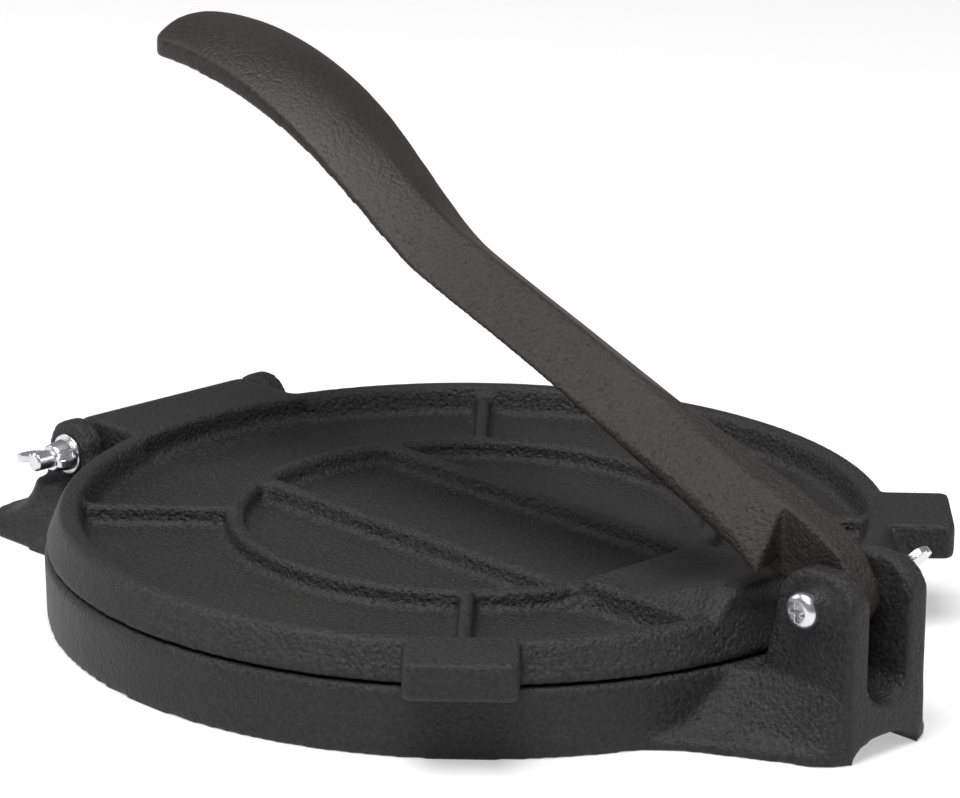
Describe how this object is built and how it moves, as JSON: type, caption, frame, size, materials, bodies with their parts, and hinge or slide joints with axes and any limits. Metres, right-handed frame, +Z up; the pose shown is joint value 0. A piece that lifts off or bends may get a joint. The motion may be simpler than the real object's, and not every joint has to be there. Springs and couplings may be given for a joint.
{
  "type": "tortilla press",
  "caption": "Cast iron tortilla press with a round base, a hinged ribbed top plate and a long pressure lever in a yoke.",
  "frame": {"origin": "middle of the press's footprint, at the plane it stands on, which is also the centre of the base disc", "axes": "+X from the plate hinge towards the lever's yoke, +Y to the side of the hinge bolt's head, +Z up"},
  "size_m": [0.284, 0.2198, 0.1396],
  "materials": {
    "iron": "matte",
    "zinc": "polished"
  },
  "bodies": {
    "stand": {"base": "iron", "lever_bolt": "zinc", "lever_washer": "zinc", "lever_wing_nut": "zinc", "hinge_bolt": "zinc", "hinge_washer": "zinc", "hinge_wing_nut": "zinc"},
    "press": {"top_plate": "iron"},
    "handle": {"lever": "iron"}
  },
  "joints": [
    {"name": "lever_swing", "type": "hinge", "parent": "stand", "child": "handle", "pos_m": [0.1275, 0, 0.0358], "axis": [0, 1, 0], "range_deg": [0, 150]},
    {"name": "plate_hinge", "type": "hinge", "parent": "stand", "child": "press", "pos_m": [-0.121, 0, 0.02], "axis": [0, -1, 0], "range_deg": [0, 105]}
  ],
  "couplings": [
    {"joint": "plate_hinge", "follows": "lever_swing", "ratio": 0.14}
  ]
}
